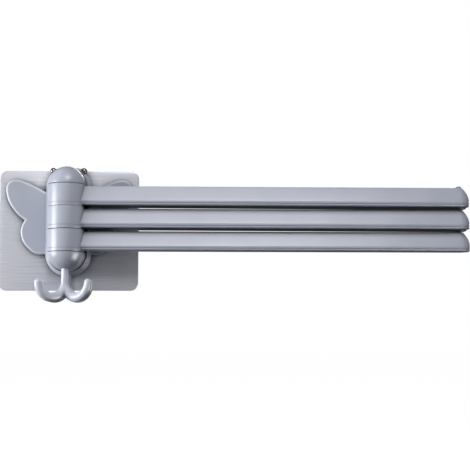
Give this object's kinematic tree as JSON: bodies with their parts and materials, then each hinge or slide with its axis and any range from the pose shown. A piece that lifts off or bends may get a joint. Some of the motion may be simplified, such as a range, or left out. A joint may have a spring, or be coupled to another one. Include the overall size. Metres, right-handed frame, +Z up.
{
  "type": "swing arm towel bar",
  "caption": "Wall towel bar whose arms swing on an upright hinge column over a butterfly base, with double hooks below.",
  "frame": {"origin": "centre of the adhesive pad's wall face", "axes": "+X along the resting arms, +Y into the wall, +Z up"},
  "size_m": [0.364, 0.0423, 0.105],
  "materials": {
    "plastic": "satin",
    "wall_plate": "brushed",
    "bead": "polished",
    "steel": "plain",
    "brass": "turned",
    "acetal": "matte",
    "foam": "matte"
  },
  "bodies": {
    "base": {"adhesive_pad": "foam", "mount_plate": "wall_plate", "plate_screws": "steel", "butterfly_base": "plastic", "hinge_bracket": "plastic", "feelers": "bead", "hinge_bolt": "steel", "bolt_insert": "brass", "spring_washer": "steel", "friction_washers": "acetal", "front_hook": "plastic", "rear_hook": "plastic", "hook_screw": "steel"},
    "top_arm": {"top_shell": "plastic", "top_cover": "plastic", "top_bush": "acetal", "top_stud": "plastic"},
    "middle_arm": {"middle_shell": "plastic", "middle_cover": "plastic", "middle_bush": "acetal", "middle_stud": "plastic"},
    "bottom_arm": {"bottom_shell": "plastic", "bottom_cover": "plastic", "bottom_bush": "acetal", "bottom_stud": "plastic"}
  },
  "joints": [
    {"name": "top_arm_swing", "type": "hinge", "parent": "base", "child": "top_arm", "pos_m": [0, -0.021, 0.0248], "axis": [0, 0, 1], "range_deg": [-180, 0]},
    {"name": "middle_arm_swing", "type": "hinge", "parent": "base", "child": "middle_arm", "pos_m": [0, -0.021, 0.00755], "axis": [0, 0, 1], "range_deg": [-180, 0]},
    {"name": "bottom_arm_swing", "type": "hinge", "parent": "base", "child": "bottom_arm", "pos_m": [0, -0.021, -0.0097], "axis": [0, 0, 1], "range_deg": [-180, 0]}
  ]
}
